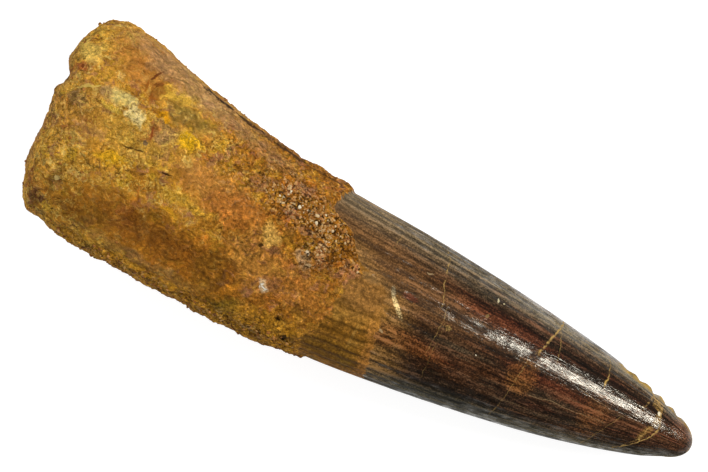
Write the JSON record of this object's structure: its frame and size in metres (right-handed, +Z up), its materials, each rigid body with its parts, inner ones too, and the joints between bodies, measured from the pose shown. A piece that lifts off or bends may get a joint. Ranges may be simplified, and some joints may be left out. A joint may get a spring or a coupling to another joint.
{
  "type": "spinosaurus tooth",
  "caption": "Fossil dinosaur tooth lying on its side: a long fluted enamel crown with a worn point, on a stout oval root crusted with sandy rock and broken off at the end.",
  "frame": {"origin": "on the surface the tooth lies on, under the middle of its bounding box", "axes": "+X along the tooth towards its point, +Y towards the straighter back edge of the crown, +Z up from the surface it lies on"},
  "size_m": [0.1018, 0.0312, 0.0226],
  "materials": {
    "fossil_tooth": "satin"
  },
  "bodies": {
    "root": {"tooth": "fossil_tooth"}
  },
  "joints": []
}
